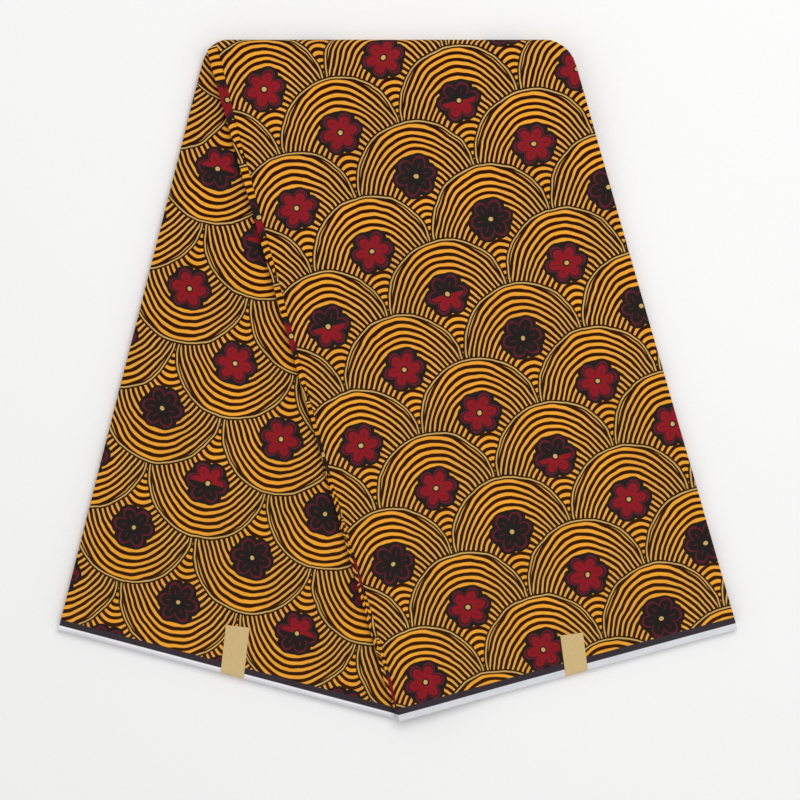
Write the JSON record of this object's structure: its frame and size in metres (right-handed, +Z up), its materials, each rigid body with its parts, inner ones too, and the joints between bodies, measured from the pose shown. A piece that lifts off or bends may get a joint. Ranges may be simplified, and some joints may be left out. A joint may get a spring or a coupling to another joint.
{
  "type": "folded wax print fabric",
  "caption": "Folded length of wax print cotton, lying flat: a long band of layers bent over at the top into two fanned legs.",
  "frame": {"origin": "middle of the footprint, on the surface that the cloth lies on", "axes": "+Z up from the surface, +Y towards the top fold, +X towards the front leg's hem corner"},
  "size_m": [0.621, 0.6224, 0.02],
  "materials": {
    "wax_print_cotton": "plain-woven printed cotton, orange on brown-black with red, faint waxy sheen",
    "label_paper": "plain tan paper label, satin"
  },
  "bodies": {
    "root": {"hidden_layers": "wax_print_cotton", "back_top_layer": "wax_print_cotton", "front_top_layer": "wax_print_cotton", "front_second_fold": "wax_print_cotton", "back_label": "label_paper", "front_label": "label_paper"}
  },
  "joints": []
}
